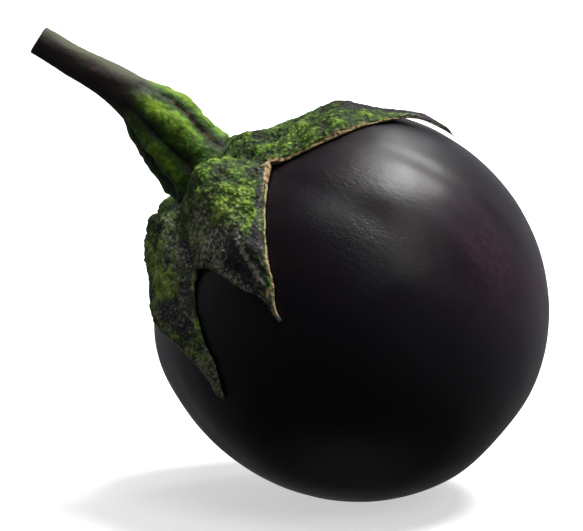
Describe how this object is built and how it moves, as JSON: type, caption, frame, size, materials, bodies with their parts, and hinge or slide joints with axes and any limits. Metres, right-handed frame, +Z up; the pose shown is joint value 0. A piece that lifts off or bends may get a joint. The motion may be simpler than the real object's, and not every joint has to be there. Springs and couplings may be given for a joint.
{
  "type": "eggplant",
  "caption": "Round globe eggplant resting on its side: glossy berry under a thick lobed calyx with curled sepal tips and a ribbed, cut stalk.",
  "frame": {"origin": "centre of the small flat spot on the berry that the eggplant rests on", "axes": "+Z up from the table; the stalk leans towards -X at 41.6 degrees above the table; the front faces -Y"},
  "size_m": [0.1435, 0.1088, 0.1322],
  "materials": {
    "fruit_skin": "satin waxy skin",
    "calyx_flesh": "matt, granular",
    "stalk": "matt, ribbed"
  },
  "bodies": {
    "root": {"fruit": "fruit_skin", "calyx": "calyx_flesh", "stem": "stalk"}
  },
  "joints": []
}
